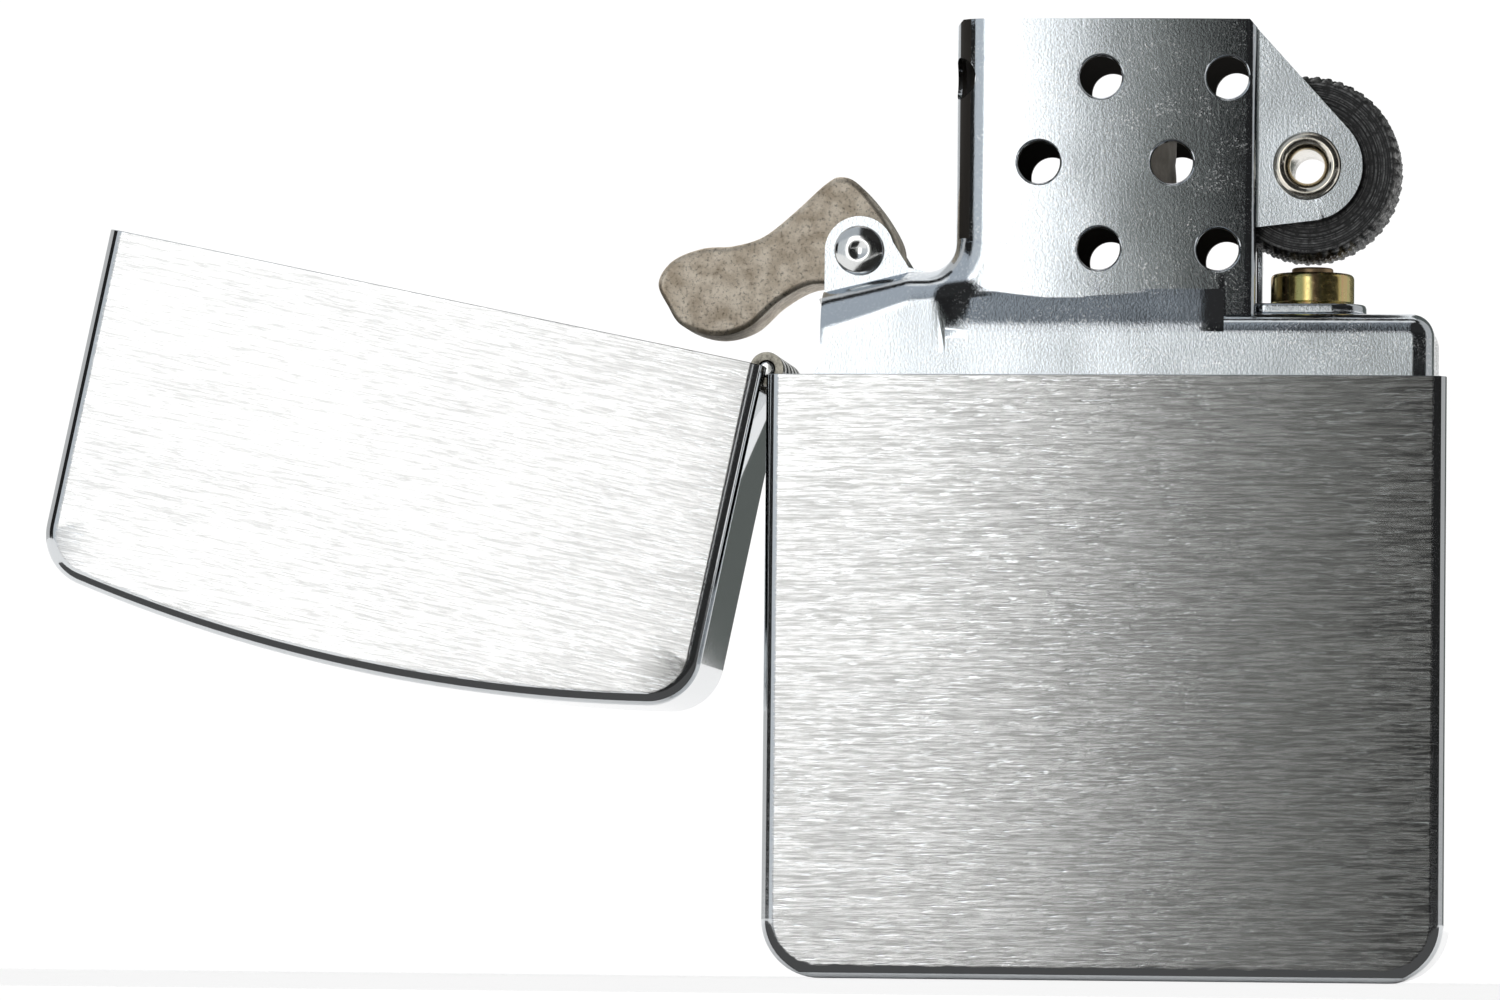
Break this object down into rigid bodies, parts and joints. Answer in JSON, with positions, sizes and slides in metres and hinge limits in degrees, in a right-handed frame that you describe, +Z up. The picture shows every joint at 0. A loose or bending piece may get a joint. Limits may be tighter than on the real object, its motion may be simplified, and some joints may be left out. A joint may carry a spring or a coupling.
{
  "type": "flip-top pocket lighter",
  "caption": "Flip-top windproof pocket lighter: hinged crowned lid, drawn metal case, perforated chimney, striker wheel and lid cam.",
  "frame": {"origin": "centre of the case's flat base", "axes": "+Z up, out of the base; +X along the width, away from the lid hinge; +Y from the front face to the back face"},
  "size_m": [0.079, 0.0126, 0.0539],
  "materials": {
    "polished_chrome": "brushed faces, polished edges",
    "stainless": "bright drawn sheet with fine scratches",
    "dark_steel": "dark hardened steel, knurled rim",
    "tumbled_steel": "tumbled matt, warm grey",
    "brass": "plated, slightly tarnished",
    "copper": "bare copper strand",
    "flint": "coated, dull",
    "cotton": "soft fibre",
    "felt": "pressed felt"
  },
  "bodies": {
    "case": {"case_shell": "polished_chrome", "case_hinge_leaf": "polished_chrome", "hinge_pin": "stainless", "insert_shell": "stainless", "wheel_rivet": "stainless", "flint_tube_plate": "stainless", "tube_collar": "brass", "flint_tube": "brass", "flint_spring": "stainless", "spring_screw": "brass", "cam_rivet": "stainless", "cam_spring": "stainless", "cam_spring_rivet": "stainless", "wick": "cotton", "wick_wire": "copper", "felt_pad": "felt", "packing_1": "cotton", "packing_2": "cotton", "packing_3": "cotton", "packing_4": "cotton"},
    "lid": {"lid_shell": "polished_chrome", "lid_hinge_leaf": "polished_chrome"},
    "cam": {"cam": "tumbled_steel"},
    "wheel": {"striker_wheel": "dark_steel", "wheel_bush": "stainless"},
    "flint_feed": {"flint": "flint", "flint_plunger": "brass"}
  },
  "joints": [
    {"name": "lid_hinge", "type": "hinge", "parent": "case", "child": "lid", "pos_m": [-0.0191, 0, 0.03415], "axis": [0, 1, 0], "range_deg": [0, 168.4]},
    {"name": "cam_pivot", "type": "hinge", "parent": "case", "child": "cam", "pos_m": [-0.01408, 0, 0.04095], "axis": [0, 1, 0], "range_deg": [0, 98]},
    {"name": "wheel_spin", "type": "hinge", "parent": "case", "child": "wheel", "pos_m": [0.0111, 0, 0.04575], "axis": [0, 1, 0], "continuous": true},
    {"name": "flint_slide", "type": "slide", "parent": "case", "child": "flint_feed", "axis": [0, 0, -1], "range_m": [0, 0.002], "stiffness_N_per_m": 60, "springref_m": -0.008, "deforming": ["flint_spring"]}
  ],
  "couplings": [
    {"joint": "cam_pivot", "follows": "lid_hinge", "ratio": 0.576}
  ]
}
